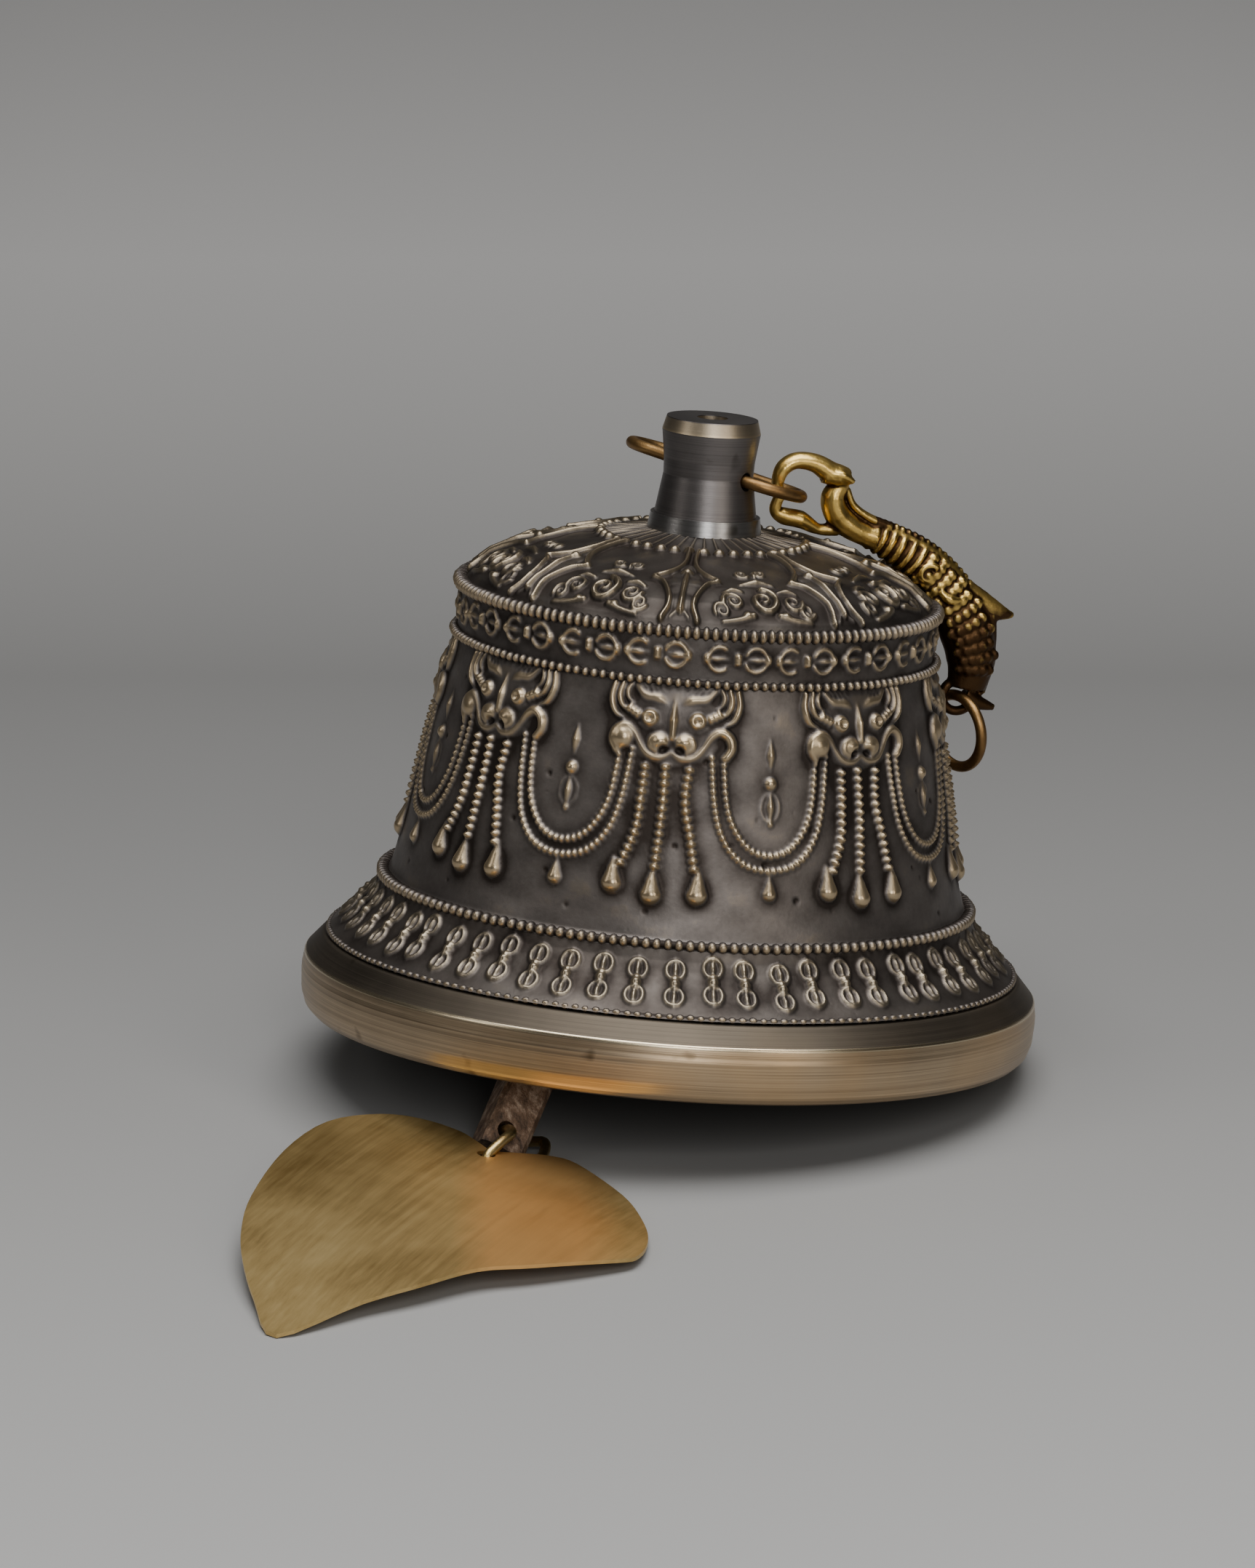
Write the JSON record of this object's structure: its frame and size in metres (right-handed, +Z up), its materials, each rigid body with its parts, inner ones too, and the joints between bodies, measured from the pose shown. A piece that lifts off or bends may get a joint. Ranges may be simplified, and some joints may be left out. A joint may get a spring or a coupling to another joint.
{
  "type": "tibetan bell",
  "caption": "Small cast temple bell with relief bands, hub and wire ring, fish-shaped hanger link, square swinging clapper and a leaf-shaped wind sail.",
  "frame": {"origin": "on the floor, under the middle of the whole object's bounding box", "axes": "+Z up, +Y away from the front, along the object's longest extent from the sail's tip to the back of the rim, +X right"},
  "size_m": [0.1262, 0.189, 0.1088],
  "materials": {
    "bell_bronze": "dark antique patina with worn relief",
    "hub_bronze": "lathe-turned, darkened",
    "iron": "dull",
    "steel": "dull zinc",
    "rusty_iron": "rough, lightly rusted",
    "wire_brass": "satin",
    "sail_brass": "brushed",
    "ring_brass": "tarnished",
    "fish_brass": "cast and rubbed"
  },
  "bodies": {
    "bell": {"bell_shell": "bell_bronze", "hub_collar": "hub_bronze", "hub": "hub_bronze", "crown_stud": "iron", "crown_washer": "steel", "crown_nut": "iron"},
    "clapper_link": {"clapper_link": "iron"},
    "clapper": {"clapper": "rusty_iron"},
    "sail_ring": {"sail_ring": "wire_brass"},
    "sail": {"sail": "sail_brass"},
    "hanger_ring": {"hanger_ring": "ring_brass"},
    "fish_hanger": {"fish_hanger": "fish_brass"},
    "top_ring": {"top_ring": "ring_brass"}
  },
  "joints": [
    {"name": "link_twist", "type": "hinge", "parent": "bell", "child": "clapper_link", "pos_m": [0.00738, 0.04103, 0.06865], "axis": [0.0749, 0.1111, 0.991], "range_deg": [-30, 30]},
    {"name": "clapper_swing", "type": "hinge", "parent": "clapper_link", "child": "clapper", "pos_m": [0.00697, 0.04042, 0.0632], "axis": [-0.8657, 0.5005, 0.0093], "range_deg": [-72, 0]},
    {"name": "sail_ring_swing", "type": "hinge", "parent": "clapper", "child": "sail_ring", "pos_m": [-0.02402, -0.01095, 0.0044], "axis": [0.3667, -0.7878, 0.495], "range_deg": [-15, 10]},
    {"name": "sail_swing", "type": "hinge", "parent": "sail_ring", "child": "sail", "pos_m": [-0.02573, -0.0228, 0.0049], "axis": [0, 0, 1], "range_deg": [-12, 12]},
    {"name": "hanger_ring_swing", "type": "hinge", "parent": "bell", "child": "hanger_ring", "pos_m": [0.0097, 0.04448, 0.09937], "axis": [0.8113, -0.5678, -0.139], "range_deg": [0, 100]},
    {"name": "fish_lift", "type": "hinge", "parent": "hanger_ring", "child": "fish_hanger", "pos_m": [0.02517, 0.04645, 0.0957], "axis": [0.2588, -0.9659, 0], "range_deg": [0, 100]},
    {"name": "top_ring_swing", "type": "hinge", "parent": "fish_hanger", "child": "top_ring", "pos_m": [0.05057, 0.05326, 0.0588], "axis": [0.6428, -0.766, 0], "range_deg": [0, 80]}
  ]
}
